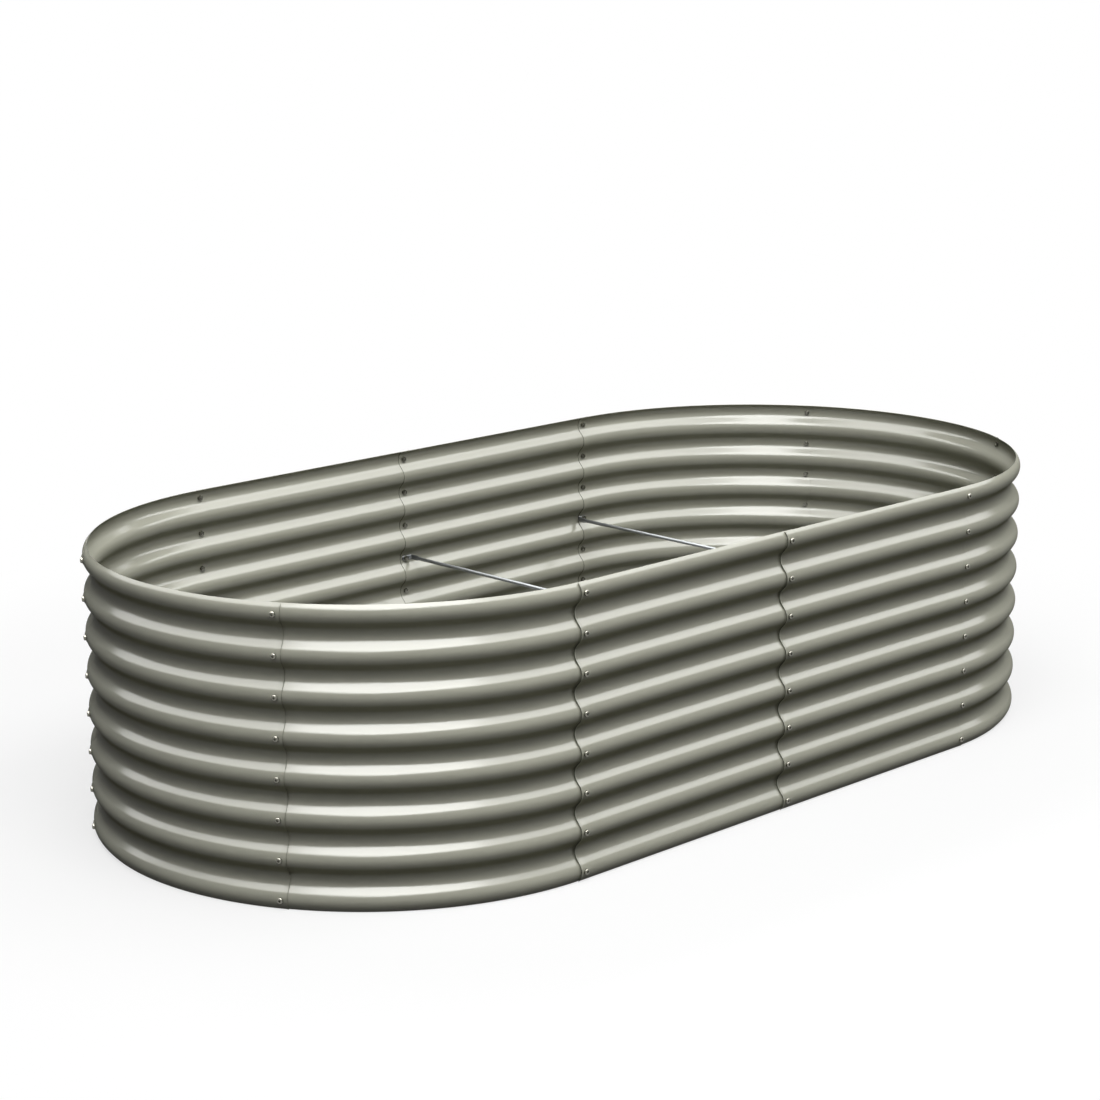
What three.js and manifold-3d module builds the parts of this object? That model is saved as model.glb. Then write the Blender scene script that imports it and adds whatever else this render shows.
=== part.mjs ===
// Raised garden bed, in millimetres: an oval ring of corrugated steel panels, open at the top and the bottom.
// It stands on z = 0 with its long axis along X and its middle at the origin. Straight panels make the two
// long sides and curved panels make the two round ends. Neighbours lap over one another at seams, where one
// bolt on the crest of each rib clamps both sheets, and tie rods cross the inside from seam to seam to hold
// the sides in.
import * as THREE from "three";
import { mergeGeometries, mergeVertices } from "three/addons/utils/BufferGeometryUtils.js";
import Module from "manifold-3d";

const wasm = await Module();
wasm.setup();

// Driving dimensions of the ring.
const endRadius = 600; // centre of a round end to the outer face of its rib crests: half of the bed's width
const sidePanelPitch = 600; // from seam to seam along a straight side
const sidePanelsPerSide = 2;
const endPanelsPerEnd = 3;

// Driving dimensions of the corrugated sheet. Its ribs run round the bed, one above the other.
const ribPitch = 80;
const ribCount = 8;
const ribDepth = 20; // crest to valley, on the outer face
const flankAngle = THREE.MathUtils.degToRad(43); // steepest slope of a rib, measured from upright
const edgeMargin = 20; // from the lowest and the highest crest to the sheet's edge
const sheetThickness = 0.8;
const lapPastBolt = 14; // from a seam's line of bolts to the edge of either sheet
const sheetGap = 0.3; // between two sheets, where they come closest on a flank

// Driving dimensions of the bolts, each with its washer and nut done up.
const boltDiameter = 6;
const headDiameter = 12;
const headHeight = 4.5;
const washerDiameter = 12;
const nutStackHeight = 6.5; // washer, nut and the bolt's end
const holeClearance = 0.5; // between a bolt and its hole, on the radius
const seatGap = 0.3; // between a clamped face and what it bears on
const seatMargin = 1; // flat crest beyond what sits on it
const ribsPerBolt = 2; // the bolts between are the same, and aren't modelled

// Driving dimensions of the tie rods.
const tieRib = 5; // counted from the ground
const rodDiameter = 8;
const tabThickness = 3; // the rod's flattened end
const tabWidth = 12;
const tabPastBolt = 9; // from the bolt to the tab's tip
const tabToRod = 18; // from the bolt to the rod's axis, along the wall
const tabBendRadius = 5; // inside of the bend
const tabRootLength = 16; // the flattened stretch that runs inwards from the bend

// How finely round shapes are cut.
const facetsPerEndPanel = 4;
const boltSides = 8;
const holeSides = 6;
const rodSides = 8;
const bendSteps = 4;

// Worked out from the sizes above.
const halfStraight = (sidePanelPitch * sidePanelsPerSide) / 2;
const bedHeight = ribPitch * (ribCount - 1) + 2 * edgeMargin;
const bendRadius =
  ((ribPitch / 2) * Math.sin(flankAngle) - ribDepth * Math.cos(flankAngle)) / (2 - 2 * Math.cos(flankAngle));
const lapStep = (sheetThickness + sheetGap) / Math.cos(flankAngle); // outer sheet to inner sheet
const clampDepth = lapStep + sheetThickness + seatGap; // outer crest face to what is clamped inside
const holeRadius = boltDiameter / 2 + holeClearance;
const endPanelAngle = Math.PI / endPanelsPerEnd;
const ribHeights = Array.from({ length: ribCount }, (_, rib) => edgeMargin + ribPitch * rib);

const finishes = {
  panel: new THREE.MeshStandardMaterial({ color: 0x92958a, roughness: 0.42, metalness: 0.35 }),
  fastener: new THREE.MeshStandardMaterial({ color: 0xc9cbc8, roughness: 0.3, metalness: 0.9 }),
  rod: new THREE.MeshStandardMaterial({ color: 0xb4b7b6, roughness: 0.38, metalness: 0.85 }),
};

// One rib's half wave as [height from the crest, depth below the crest]: a flat crest that the bolts and the
// rods' tabs sit on, a rounded shoulder, a straight flank and a rounded valley.
const shoulder = bendRadius * Math.sin(flankAngle);
const shoulderDepth = bendRadius * (1 - Math.cos(flankAngle));
const halfWave = [
  [Math.max(headDiameter, washerDiameter, tabWidth) / 2 + seatMargin, 0],
  [shoulder, shoulderDepth],
  [ribPitch / 2 - shoulder, ribDepth - shoulderDepth],
  [ribPitch / 2, ribDepth],
];

// Depth of the outer face below the crests at a height above the ground.
function depthAt(height) {
  const wave = (height - edgeMargin) / ribPitch;
  const fromCrest = Math.abs(wave - Math.round(wave)) * ribPitch;
  let [lastRise, lastDepth] = [0, 0];
  for (const [rise, depth] of halfWave) {
    if (fromCrest <= rise) {
      return lastDepth + ((depth - lastDepth) * (fromCrest - lastRise)) / (rise - lastRise);
    }
    [lastRise, lastDepth] = [rise, depth];
  }
  return ribDepth;
}

// The heights at which the outer face turns, from the ground up.
function sectionHeights() {
  const heights = [0, bedHeight];
  for (let rib = -1; rib <= ribCount; rib += 1) {
    const crest = edgeMargin + ribPitch * rib;
    for (const [rise] of halfWave) {
      heights.push(crest - rise, crest + rise);
    }
  }
  const onSheet = heights.filter((height) => height >= 0 && height <= bedHeight);
  return [...new Set(onSheet)].sort((a, b) => a - b);
}

// The sheet's closed section as [depth, height]: up its outer face and down its inner face, which lies a
// sheet's thickness behind each facet. Both edges are cut level.
function sheetSection() {
  const outer = sectionHeights().map((height) => new THREE.Vector2(depthAt(height), height));
  const last = outer.length - 1;
  const inwards = (start) => {
    const facet = outer[start + 1].clone().sub(outer[start]).normalize();
    return new THREE.Vector2(facet.y, -facet.x);
  };
  const inner = outer.map((point, index) => {
    const above = inwards(Math.min(index, last - 1));
    const below = inwards(Math.max(index, 1) - 1);
    const isEdge = index === 0 || index === last;
    const direction = isEdge ? new THREE.Vector2(1, 0) : below.clone().add(above).normalize();
    return point.clone().addScaledVector(direction, sheetThickness / direction.dot(above));
  });
  return [...outer, ...inner.reverse()];
}

// The seams, going round the bed with the outside on the right hand. outerIsNext says that the panel that
// starts at a seam lies over the one that ends there.
function ringSeams() {
  const seams = [];
  for (const turn of [0, Math.PI]) {
    for (let panel = 0; panel <= sidePanelsPerSide; panel += 1) {
      seams.push({
        point: new THREE.Vector2(panel * sidePanelPitch - halfStraight, -endRadius),
        angle: -Math.PI / 2,
        turn,
        straightAfter: panel < sidePanelsPerSide,
        outerIsNext: panel < sidePanelsPerSide,
        onSide: true,
      });
    }
    for (let panel = 1; panel < endPanelsPerEnd; panel += 1) {
      const angle = -Math.PI / 2 + panel * endPanelAngle;
      seams.push({
        point: new THREE.Vector2(halfStraight + endRadius * Math.cos(angle), endRadius * Math.sin(angle)),
        angle,
        turn,
        straightAfter: false,
        outerIsNext: panel <= (endPanelsPerEnd - 1) / 2,
        onSide: false,
      });
    }
  }
  return seams.map((seam) => ({
    ...seam,
    point: seam.point.rotateAround(new THREE.Vector2(), seam.turn),
    outward: new THREE.Vector2(Math.cos(seam.angle + seam.turn), Math.sin(seam.angle + seam.turn)),
    along: new THREE.Vector2(-Math.sin(seam.angle + seam.turn), Math.cos(seam.angle + seam.turn)),
  }));
}

// The places along a panel where its section stands: its two edges, past the bolts of its two seams, and
// between them the corners of a curved panel's facets. Every facet touches the round end's true circle at its
// middle, so that a seam lies in the middle of a flat facet. reach is the corner's outward direction, longer
// than 1.
function panelStations(seam, nextSeam) {
  const startShift = seam.outerIsNext ? 0 : lapStep;
  const endShift = nextSeam.outerIsNext ? lapStep : 0;
  const stations = [
    {
      point: seam.point.clone().addScaledVector(seam.along, -lapPastBolt),
      reach: seam.outward,
      shift: startShift,
    },
  ];
  if (!seam.straightAfter) {
    const centre = seam.point.clone().addScaledVector(seam.outward, -endRadius);
    const facetAngle = endPanelAngle / facetsPerEndPanel;
    for (let corner = 0; corner < facetsPerEndPanel; corner += 1) {
      const angle = seam.angle + seam.turn + (corner + 0.5) * facetAngle;
      const mitre = 1 / Math.cos(facetAngle / 2);
      const reach = new THREE.Vector2(Math.cos(angle), Math.sin(angle)).multiplyScalar(mitre);
      const share = facetsPerEndPanel > 1 ? corner / (facetsPerEndPanel - 1) : 0;
      const shift = THREE.MathUtils.lerp(startShift, endShift, share);
      stations.push({ point: centre.clone().addScaledVector(reach, endRadius), reach, shift });
    }
  }
  stations.push({
    point: nextSeam.point.clone().addScaledVector(nextSeam.along, lapPastBolt),
    reach: nextSeam.outward,
    shift: endShift,
  });
  return stations;
}

// Sweeps the section from station to station and closes both ends.
function sweptSheet(stations, section) {
  const positions = [];
  const indices = [];
  for (const { point, reach, shift } of stations) {
    for (const { x: depth, y: height } of section) {
      const place = point.clone().addScaledVector(reach, -depth - shift);
      positions.push(place.x, place.y, height);
    }
  }
  const count = section.length;
  for (let station = 0; station < stations.length - 1; station += 1) {
    for (let corner = 0; corner < count; corner += 1) {
      const here = station * count + corner;
      const up = station * count + ((corner + 1) % count);
      indices.push(here, here + count, up);
      indices.push(up, here + count, up + count);
    }
  }
  const lastStation = (stations.length - 1) * count;
  for (const [a, b, c] of THREE.ShapeUtils.triangulateShape(section, [])) {
    indices.push(c, b, a);
    indices.push(lastStation + a, lastStation + b, lastStation + c);
  }
  const geometry = new THREE.BufferGeometry();
  geometry.setAttribute("position", new THREE.Float32BufferAttribute(positions, 3));
  geometry.setIndex(indices);
  return geometry;
}

// A closed geometry as a solid that can be joined and cut.
function solidFrom(geometry) {
  const bare = geometry.clone();
  bare.deleteAttribute("normal");
  bare.deleteAttribute("uv");
  const merged = mergeVertices(bare, 1e-4);
  const mesh = new wasm.Mesh({
    numProp: 3,
    vertProperties: new Float32Array(merged.attributes.position.array),
    triVerts: new Uint32Array(merged.index.array),
  });
  return new wasm.Manifold(mesh);
}

function geometryFrom(solid) {
  const mesh = solid.getMesh();
  const geometry = new THREE.BufferGeometry();
  geometry.setAttribute("position", new THREE.Float32BufferAttribute(mesh.vertProperties, 3));
  geometry.setIndex([...mesh.triVerts]);
  geometry.computeVertexNormals();
  return geometry;
}

function namedMesh(name, geometry, finish) {
  const mesh = new THREE.Mesh(geometry, finish);
  mesh.name = name;
  return mesh;
}

// The turn and place that carry a fastener, modelled with +Z out of the wall, to a seam at a height.
function seamMatrix(seam, height) {
  const outward = new THREE.Vector3(seam.outward.x, seam.outward.y, 0);
  const along = new THREE.Vector3(seam.along.x, seam.along.y, 0);
  const matrix = new THREE.Matrix4().makeBasis(along, new THREE.Vector3(0, 0, 1), outward);
  return matrix.setPosition(seam.point.x, seam.point.y, height);
}

// The holes of one seam, one on the crest of each rib.
function seamHoles(seam) {
  const length = 4 * (clampDepth + ribDepth);
  return ribHeights.map((height) => {
    const drill = new THREE.CylinderGeometry(holeRadius, holeRadius, length, holeSides);
    drill.rotateX(Math.PI / 2);
    return drill.applyMatrix4(seamMatrix(seam, height));
  });
}

function panelGeometry(seam, nextSeam, section) {
  const sheet = sweptSheet(panelStations(seam, nextSeam), section);
  const drills = mergeGeometries([...seamHoles(seam), ...seamHoles(nextSeam)]);
  return geometryFrom(solidFrom(sheet).subtract(solidFrom(drills)));
}

// A pan-head bolt with its washer and nut, turned about its axis. The head bears on the outer sheet's crest
// and the washer on whatever is innermost, grip below that crest.
function fastenerGeometry(grip) {
  const nutEnd = -grip - nutStackHeight;
  const profile = [
    [0, nutEnd],
    [washerDiameter / 2, nutEnd],
    [washerDiameter / 2, -grip],
    [boltDiameter / 2, -grip],
    [boltDiameter / 2, seatGap],
    [headDiameter / 2, seatGap],
    [headDiameter / 2, seatGap + headHeight * 0.4],
    [headDiameter * 0.3, seatGap + headHeight],
    [0, seatGap + headHeight],
  ];
  const points = profile.map(([radius, height]) => new THREE.Vector2(radius, height));
  const geometry = new THREE.LatheGeometry(points, boltSides);
  return geometry.rotateX(Math.PI / 2);
}

// One end of a tie rod seen from above: a flat tab along the wall that bends into the rod's direction. The
// bolt is at x = 0, the rod's axis tabToRod from it, and depth grows into the bed. facing is 1 on the front
// wall and -1 on the back wall, and side is the way along X from the bolt to the rod.
function tabOutline(facing, side) {
  const outerRadius = tabBendRadius + tabThickness;
  const farFace = tabToRod + tabThickness / 2;
  const bendCentre = [farFace - outerRadius, clampDepth + outerRadius];
  const root = clampDepth + outerRadius + tabRootLength;
  const outline = [[-tabPastBolt, clampDepth]];
  const bend = (radius, step) => {
    const angle = (Math.PI / 2) * (step / bendSteps);
    outline.push([bendCentre[0] + radius * Math.sin(angle), bendCentre[1] - radius * Math.cos(angle)]);
  };
  for (let step = 0; step <= bendSteps; step += 1) {
    bend(outerRadius, step);
  }
  outline.push([farFace, root], [farFace - tabThickness, root]);
  for (let step = bendSteps; step >= 0; step -= 1) {
    bend(tabBendRadius, step);
  }
  outline.push([-tabPastBolt, clampDepth + tabThickness]);
  return new THREE.Shape(
    outline.map(([along, depth]) => new THREE.Vector2(side * along, facing * (depth - endRadius))),
  );
}

// A tie rod across the bed at x = 0, with the bolts of its two seams at x = 0 as well.
function tieRodGeometry(side) {
  const halfLength = endRadius - clampDepth - tabBendRadius - tabThickness;
  const bar = new THREE.CylinderGeometry(rodDiameter / 2, rodDiameter / 2, 2 * halfLength, rodSides);
  bar.rotateY(Math.PI / rodSides);
  bar.translate(side * tabToRod, 0, 0);
  let rod = solidFrom(bar);
  for (const facing of [1, -1]) {
    const tab = new THREE.ExtrudeGeometry(tabOutline(facing, side), { depth: tabWidth, bevelEnabled: false });
    tab.translate(0, 0, -tabWidth / 2);
    const drill = new THREE.CylinderGeometry(holeRadius, holeRadius, 2 * rodDiameter, holeSides);
    drill.translate(0, facing * (clampDepth - endRadius), 0);
    rod = rod.add(solidFrom(tab)).subtract(solidFrom(drill));
  }
  return geometryFrom(rod);
}

function bedPanels(seams) {
  const section = sheetSection();
  const wallNames = ["front", "right_end", "back", "left_end"];
  const counters = new Map();
  return seams.map((seam, index) => {
    const nextSeam = seams[(index + 1) % seams.length];
    const wall = wallNames[(seam.turn > 0 ? 2 : 0) + (seam.straightAfter ? 0 : 1)];
    const number = (counters.get(wall) ?? 0) + 1;
    counters.set(wall, number);
    return namedMesh(wall + "_panel_" + number, panelGeometry(seam, nextSeam, section), finishes.panel);
  });
}

function seamFasteners(seams) {
  const plain = fastenerGeometry(clampDepth);
  const throughTab = fastenerGeometry(clampDepth + tabThickness + seatGap);
  return seams.flatMap((seam, index) => {
    const group = new THREE.Group();
    for (let rib = 0; rib < ribCount; rib += ribsPerBolt) {
      const holdsRod = seam.onSide && rib === tieRib - 1;
      const bolt = namedMesh(
        "seam_" + (index + 1) + "_bolt_" + (rib + 1),
        holdsRod ? throughTab : plain,
        finishes.fastener,
      );
      bolt.applyMatrix4(seamMatrix(seam, ribHeights[rib]));
      group.add(bolt);
    }
    return group;
  });
}

function tieRods(seams) {
  const frontSeams = seams.filter((seam) => seam.onSide && seam.turn === 0);
  return frontSeams.map((seam, index) => {
    const side = seam.point.x > 0 ? -1 : 1;
    const rod = namedMesh("tie_rod_" + (index + 1), tieRodGeometry(side), finishes.rod);
    rod.position.set(seam.point.x, 0, ribHeights[tieRib - 1]);
    return rod;
  });
}

const bed = new THREE.Group();
const seams = ringSeams();
bed.add(...bedPanels(seams), ...seamFasteners(seams), ...tieRods(seams));

export default bed;
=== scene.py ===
"""Raised garden bed: an oval ring of corrugated, colour-coated steel panels, bolted together at ten seams.

Straight panels make the two long sides and curved ones the two round ends. Each laps over or under its
neighbours, a pan-head screw with washer and nut clamps each rib at each seam, and tie rods cross the bed.
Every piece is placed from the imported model, so it stays where its solid is. Units are metres.
"""

import logging
import math
from dataclasses import dataclass, field
from enum import Enum
from typing import Callable, Iterable

import bmesh
import bpy
from mathutils import Matrix, Quaternion, Vector


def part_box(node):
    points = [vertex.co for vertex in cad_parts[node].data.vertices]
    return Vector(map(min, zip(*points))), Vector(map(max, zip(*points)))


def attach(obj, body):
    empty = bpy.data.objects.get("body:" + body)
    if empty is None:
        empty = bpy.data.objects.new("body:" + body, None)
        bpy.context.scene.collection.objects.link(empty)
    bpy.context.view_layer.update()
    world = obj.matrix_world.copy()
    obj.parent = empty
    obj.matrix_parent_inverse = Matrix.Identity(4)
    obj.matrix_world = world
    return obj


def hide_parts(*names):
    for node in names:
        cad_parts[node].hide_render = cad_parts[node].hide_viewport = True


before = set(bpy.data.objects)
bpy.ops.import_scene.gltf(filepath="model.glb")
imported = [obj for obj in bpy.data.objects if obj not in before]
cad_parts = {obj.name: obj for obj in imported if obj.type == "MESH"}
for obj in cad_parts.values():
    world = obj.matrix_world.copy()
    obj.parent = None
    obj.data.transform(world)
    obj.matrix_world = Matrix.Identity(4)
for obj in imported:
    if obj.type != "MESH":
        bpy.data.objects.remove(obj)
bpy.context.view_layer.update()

LOG = logging.getLogger("garden_bed")
MM = 0.001
NEAR = 0.01 * MM  # two places closer than this are one place
BODY = "root"


class Lap(Enum):
    """How a panel's end lies at its seam."""

    OVER = "over"
    UNDER = "under"


class Wall(Enum):
    """The four walls of the bed, as the panels' names begin."""

    FRONT = "front_panel"
    RIGHT_END = "right_end_panel"
    BACK = "back_panel"
    LEFT_END = "left_end_panel"


class LampUse(Enum):
    """What a lamp does for the bed."""

    LIGHT = "light"  # it lights matt surfaces
    GLOSS = "gloss"  # it is mirrored in glossy ones


# ---- Small helpers for modelling and for materials ----


def deselect_all() -> None:
    """Leaves object mode with nothing selected."""
    if bpy.context.object is not None and bpy.context.object.mode != "OBJECT":
        bpy.ops.object.mode_set(mode="OBJECT")
    bpy.ops.object.select_all(action="DESELECT")


def make_active(piece: bpy.types.Object) -> None:
    """Makes one object the only selected one, and the active one."""
    deselect_all()
    piece.select_set(True)
    bpy.context.view_layer.objects.active = piece


def start_editing(piece: bpy.types.Object) -> None:
    """Opens one object in edit mode with everything in it deselected."""
    make_active(piece)
    bpy.ops.object.mode_set(mode="EDIT")
    bpy.ops.mesh.select_all(action="DESELECT")


def finish_editing() -> None:
    """Goes back to object mode."""
    bpy.ops.object.mode_set(mode="OBJECT")


def select_vertices(piece: bpy.types.Object, wanted: Callable[[Vector], bool]) -> None:
    """Selects the vertices of the mesh in edit mode by their place, with the edges and faces between them.

    Args:
        piece: The object in edit mode.
        wanted: Says of a place whether a vertex there is selected.
    """
    bpy.ops.mesh.select_mode(type="VERT")
    mesh = bmesh.from_edit_mesh(piece.data)
    for vertex in mesh.verts:
        vertex.select = wanted(vertex.co)
    mesh.select_flush_mode()
    bmesh.update_edit_mesh(piece.data)


def apply_place(piece: bpy.types.Object, place: Matrix) -> None:
    """Moves a piece to its place and applies it, so that the object stays at the origin.

    Args:
        piece: The object, at the origin.
        place: The turn and the shift that carry it to its place.
    """
    make_active(piece)
    piece.matrix_world = place
    bpy.ops.object.transform_apply(location=True, rotation=True, scale=True)


def placed_copy(master: bpy.types.Object, name: str, place: Matrix) -> bpy.types.Object:
    """Copies a finished piece, with a mesh of its own, to another place.

    Args:
        master: The piece to copy.
        name: The copy's name.
        place: The turn and the shift that carry the copy to its place.

    Returns:
        The copy.
    """
    copy = master.copy()
    copy.data = master.data.copy()
    copy.name = name
    copy.data.name = name
    bpy.context.scene.collection.objects.link(copy)
    apply_place(copy, place)
    return copy


def remove_piece(piece: bpy.types.Object) -> None:
    """Deletes a helper object and its mesh."""
    mesh = piece.data
    bpy.data.objects.remove(piece)
    bpy.data.meshes.remove(mesh)


def cut_or_join(piece: bpy.types.Object, other: bpy.types.Object, operation: str) -> None:
    """Applies a boolean modifier and deletes the other object.

    Args:
        piece: The object that is changed.
        other: The object that cuts it or joins it.
        operation: DIFFERENCE, UNION or INTERSECT.
    """
    make_active(piece)
    modifier = piece.modifiers.new(operation.lower(), "BOOLEAN")
    modifier.operation = operation
    modifier.solver = "EXACT"
    modifier.object = other
    bpy.ops.object.modifier_apply(modifier=modifier.name)
    remove_piece(other)


def weld(piece: bpy.types.Object) -> None:
    """Merges the vertices that booleans left in one place, and dissolves the slivers between them."""
    start_editing(piece)
    bpy.ops.mesh.select_all(action="SELECT")
    bpy.ops.mesh.remove_doubles(threshold=NEAR)
    bpy.ops.mesh.dissolve_degenerate(threshold=NEAR)
    finish_editing()


def shade_by_angle(piece: bpy.types.Object, degrees: float) -> None:
    """Shades a piece smooth, apart from edges sharper than an angle.

    Args:
        piece: The object.
        degrees: The least angle of an edge that stays sharp.
    """
    make_active(piece)
    bpy.ops.object.shade_smooth_by_angle(angle=math.radians(degrees))


def linear_colour(hex_code: str) -> tuple[float, float, float, float]:
    """Turns an sRGB hex colour to the linear colour that shaders use.

    Args:
        hex_code: Six hex digits, such as "99998c".

    Returns:
        Red, green, blue and an alpha of 1.
    """
    shares = [int(hex_code[start : start + 2], 16) / 255 for start in (0, 2, 4)]
    linear = [share / 12.92 if share <= 0.04045 else ((share + 0.055) / 1.055) ** 2.4 for share in shares]
    return (linear[0], linear[1], linear[2], 1.0)


def scale_for(size_mm: float) -> float:
    """The Scale of a noise texture whose lumps are about this many millimetres across."""
    return 1.0 / (size_mm * MM)


def add_node(
    tree: bpy.types.NodeTree, kind: str, inputs: dict | None = None, **settings: object
) -> bpy.types.Node:
    """Adds a node with its settings, its input values and its links.

    Args:
        tree: The node tree.
        kind: The node's type name.
        inputs: For each input socket, by name or number, a value or the output that it is linked to.
        **settings: The node's own properties.

    Returns:
        The node.
    """
    node = tree.nodes.new(kind)
    for name, value in settings.items():
        setattr(node, name, value)
    for socket, value in (inputs or {}).items():
        if isinstance(value, bpy.types.NodeSocket):
            tree.links.new(value, node.inputs[socket])
        else:
            node.inputs[socket].default_value = value
    return node


def new_material(name: str) -> bpy.types.Material:
    """Makes a material with an empty node tree."""
    material = bpy.data.materials.new(name)
    material.use_nodes = True
    material.node_tree.nodes.clear()
    return material


# ---- Finishes ----


@dataclass(frozen=True)
class PolyesterCoat:
    """Polyester colour coat, rolled on flat sheet and baked before the ribs were pressed.

    The eye sees one smooth olive grey with a satin skin: soft shading over the ribs, a crisp pale band where
    a lamp is mirrored, and the faintest orange peel and rolling lines in it. The skin is a small share of
    white metal, which mirrors alike at all angles, so the dark undersides of the ribs stay dark.
    """

    name: str = "polyester_coated_steel"
    colour_hex: str = "99998c"
    second_hex: str = "959587"
    gloss_hex: str = "f0f0f0"
    gloss_share: float = 0.035
    low_roughness: float = 0.15
    high_roughness: float = 0.18
    cloud_mm: float = 180.0
    peel_mm: float = 3.0  # real orange peel is about 1 mm across, too fine to show
    peel_height_mm: float = 0.003
    line_mm: float = 0.9  # real rolling lines are finer
    line_stretch: tuple[float, float, float] = (0.02, 0.02, 1.0)

    def build(self) -> bpy.types.Material:
        """Builds the material and returns it."""
        material = new_material(self.name)
        tree = material.node_tree
        place = add_node(tree, "ShaderNodeTexCoord").outputs["Object"]
        clouds = add_node(
            tree,
            "ShaderNodeTexNoise",
            {"Vector": place, "Scale": scale_for(self.cloud_mm), "Detail": 3.0, "Roughness": 0.5},
        )
        along_ribs = add_node(tree, "ShaderNodeMapping", {"Vector": place, "Scale": self.line_stretch})
        lines = add_node(
            tree,
            "ShaderNodeTexNoise",
            {"Vector": along_ribs.outputs["Vector"], "Scale": scale_for(self.line_mm), "Detail": 2.0},
        )
        colour = add_node(
            tree,
            "ShaderNodeMix",
            {0: lines.outputs["Fac"], 6: linear_colour(self.colour_hex), 7: linear_colour(self.second_hex)},
            data_type="RGBA",
        )
        roughness = add_node(
            tree,
            "ShaderNodeMapRange",
            {"Value": clouds.outputs["Fac"], "To Min": self.low_roughness, "To Max": self.high_roughness},
        )
        peel = add_node(
            tree,
            "ShaderNodeTexNoise",
            {"Vector": place, "Scale": scale_for(self.peel_mm), "Detail": 1.0, "Roughness": 0.4},
        )
        bump = add_node(
            tree,
            "ShaderNodeBump",
            {"Height": peel.outputs["Fac"], "Strength": 1.0, "Distance": self.peel_height_mm * MM},
        )
        paint = add_node(
            tree,
            "ShaderNodeBsdfPrincipled",
            {"Base Color": colour.outputs[2], "Roughness": self.high_roughness, "Specular IOR Level": 0.0},
        )
        skin = add_node(
            tree,
            "ShaderNodeBsdfPrincipled",
            {
                "Base Color": linear_colour(self.gloss_hex),
                "Roughness": roughness.outputs["Result"],
                "Metallic": 1.0,
                "Normal": bump.outputs["Normal"],
            },
        )
        coat = add_node(
            tree,
            "ShaderNodeMixShader",
            {0: self.gloss_share, 1: paint.outputs["BSDF"], 2: skin.outputs["BSDF"]},
        )
        add_node(tree, "ShaderNodeOutputMaterial", {"Surface": coat.outputs["Shader"]})
        return material


@dataclass(frozen=True)
class ZincMetal:
    """Bare metal with a thin zinc surface, as plated, dipped or drawn.

    The eye sees a grey metal whose gloss breaks up in fine marks.
    """

    name: str
    light_hex: str
    dark_hex: str
    low_roughness: float
    high_roughness: float
    mark_mm: float
    mark_stretch: tuple[float, float, float] = (1.0, 1.0, 1.0)
    mark_height_mm: float = 0.01

    def build(self) -> bpy.types.Material:
        """Builds the material and returns it."""
        material = new_material(self.name)
        tree = material.node_tree
        place = add_node(tree, "ShaderNodeTexCoord").outputs["Object"]
        stretched = add_node(tree, "ShaderNodeMapping", {"Vector": place, "Scale": self.mark_stretch})
        marks = add_node(
            tree,
            "ShaderNodeTexNoise",
            {"Vector": stretched.outputs["Vector"], "Scale": scale_for(self.mark_mm), "Detail": 4.0},
        )
        colour = add_node(
            tree,
            "ShaderNodeMix",
            {0: marks.outputs["Fac"], 6: linear_colour(self.dark_hex), 7: linear_colour(self.light_hex)},
            data_type="RGBA",
        )
        roughness = add_node(
            tree,
            "ShaderNodeMapRange",
            {"Value": marks.outputs["Fac"], "To Min": self.low_roughness, "To Max": self.high_roughness},
        )
        bump = add_node(
            tree,
            "ShaderNodeBump",
            {"Height": marks.outputs["Fac"], "Strength": 1.0, "Distance": self.mark_height_mm * MM},
        )
        shader = add_node(
            tree,
            "ShaderNodeBsdfPrincipled",
            {
                "Base Color": colour.outputs[2],
                "Roughness": roughness.outputs["Result"],
                "Metallic": 1.0,
                "Normal": bump.outputs["Normal"],
            },
        )
        add_node(tree, "ShaderNodeOutputMaterial", {"Surface": shader.outputs["BSDF"]})
        return material


# Zinc plate on the screws, dulled warm and dark by its passivation: only the lamps stand out on it.
ZINC_PLATE = ZincMetal("passivated_zinc_plate", "85847b", "65645c", 0.20, 0.32, 1.5)
# The tie rods are drawn bar, so their marks run along the bar, across the bed.
DRAWN_BAR = ZincMetal("zinc_plated_drawn_bar", "87898a", "66696a", 0.36, 0.50, 1.2, (1.0, 0.04, 1.0))
# Where the sheet is cut, its steel core shows between the coats. Its grey is darkened into painted shade,
# so that the cut edge reads as the dark shadow line along the lapped seams.
SHEARED_EDGE_PAINTED_SHADE = ZincMetal("sheared_steel_edge_painted_shade", "72736c", "50514b", 0.40, 0.55, 0.8)


@dataclass(frozen=True)
class Finishes:
    """The materials of the bed, built once."""

    coat: bpy.types.Material
    edge: bpy.types.Material
    plate: bpy.types.Material
    bar: bpy.types.Material

    @classmethod
    def build(cls) -> "Finishes":
        """Builds every finish once and returns them."""
        return cls(
            coat=PolyesterCoat().build(),
            edge=SHEARED_EDGE_PAINTED_SHADE.build(),
            plate=ZINC_PLATE.build(),
            bar=DRAWN_BAR.build(),
        )


# ---- Layout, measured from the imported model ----


@dataclass(frozen=True)
class Seam:
    """A line of screws where two panels lap.

    The point lies on the outer crest face at the ground, and outward is the wall's direction there, as an
    angle about Z.
    """

    number: int
    point: Vector
    outward: float
    holds_rod: bool

    def place_at(self, height: float) -> Matrix:
        """The place of a screw, modelled with +Z out of the wall, at a height on this seam.

        Args:
            height: The height above the ground.

        Returns:
            The matrix that carries the screw there.
        """
        out = Vector((math.cos(self.outward), math.sin(self.outward), 0.0))
        along = Vector((-out.y, out.x, 0.0))
        up = Vector((0.0, 0.0, 1.0))
        turn = Matrix((along, up, out)).transposed().to_4x4()
        return Matrix.Translation(self.point + up * height) @ turn


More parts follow.
